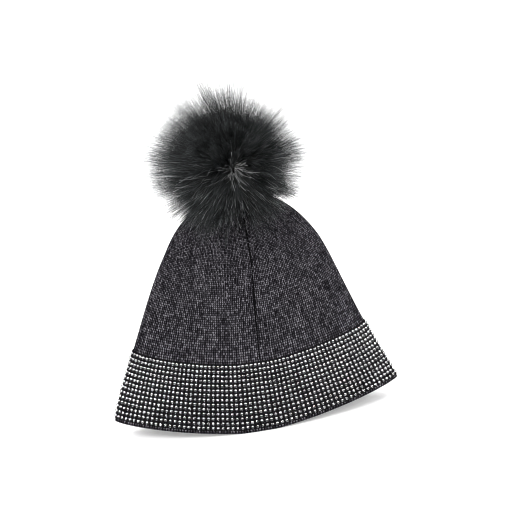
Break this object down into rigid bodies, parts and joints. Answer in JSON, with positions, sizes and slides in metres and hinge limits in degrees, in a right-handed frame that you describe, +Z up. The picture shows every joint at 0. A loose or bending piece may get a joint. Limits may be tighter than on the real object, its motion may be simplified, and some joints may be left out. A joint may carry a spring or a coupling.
{
  "type": "knitted hat with fur pompom",
  "caption": "Dark knitted winter hat with a wide band of clear crystal stones round the hem and a fur pompom on a press stud that turns, tips and lifts off.",
  "frame": {"origin": "centre of the open hem, on the plane the hat stands on", "axes": "+Z up through the crown to the pompom, -Y towards the side with the centre seam, +X to the right seen from that side"},
  "size_m": [0.25, 0.13, 0.297],
  "materials": {
    "knit": "matte",
    "lining": "matte",
    "thread": "matte",
    "interfacing": "matte",
    "tape": "matte",
    "foil": "polished",
    "crystal": "polished",
    "steel": "satin",
    "label": "satin",
    "leather": "satin",
    "hide": "matte",
    "stuffing": "matte",
    "fur": "satin"
  },
  "bodies": {
    "hat": {"outer_shell": "knit", "lining": "lining", "centre_seam": "thread", "lining_seam": "thread", "hem_stitching": "thread", "crown_patch": "interfacing", "crown_thread": "thread", "band_tape": "tape", "band_join": "thread", "band_top_stitching": "thread", "band_bottom_stitching": "thread", "stone_cups": "foil", "rhinestones": "crystal", "snap_stud": "steel", "snap_washer": "steel", "label_stitching": "thread"},
    "label_flap": {"care_label": "label"},
    "snap": {"snap_socket": "steel", "socket_spring": "steel"},
    "pompom_base": {"base_disc": "leather", "snap_cap": "steel"},
    "pompom": {"fur_backing": "hide", "stuffing": "stuffing", "draw_thread": "thread", "fur_pile": "fur"}
  },
  "joints": [
    {"name": "pompom_lift", "type": "slide", "parent": "hat", "child": "snap", "axis": [0, 0, 1], "range_m": [0, 0.05]},
    {"name": "pompom_spin", "type": "hinge", "parent": "snap", "child": "pompom_base", "pos_m": [0.0085, 0, 0.2082], "axis": [0, 0, 1], "continuous": true},
    {"name": "pompom_tip", "type": "hinge", "parent": "pompom_base", "child": "pompom", "pos_m": [0.0085, 0, 0.2094], "axis": [0, 1, 0], "range_deg": [-12, 12], "stiffness_Nm_per_rad": 0.4},
    {"name": "label_bend", "type": "hinge", "parent": "hat", "child": "label_flap", "pos_m": [0, 0.03309, 0.046], "axis": [-1, 0, 0], "range_deg": [0, 80]}
  ]
}
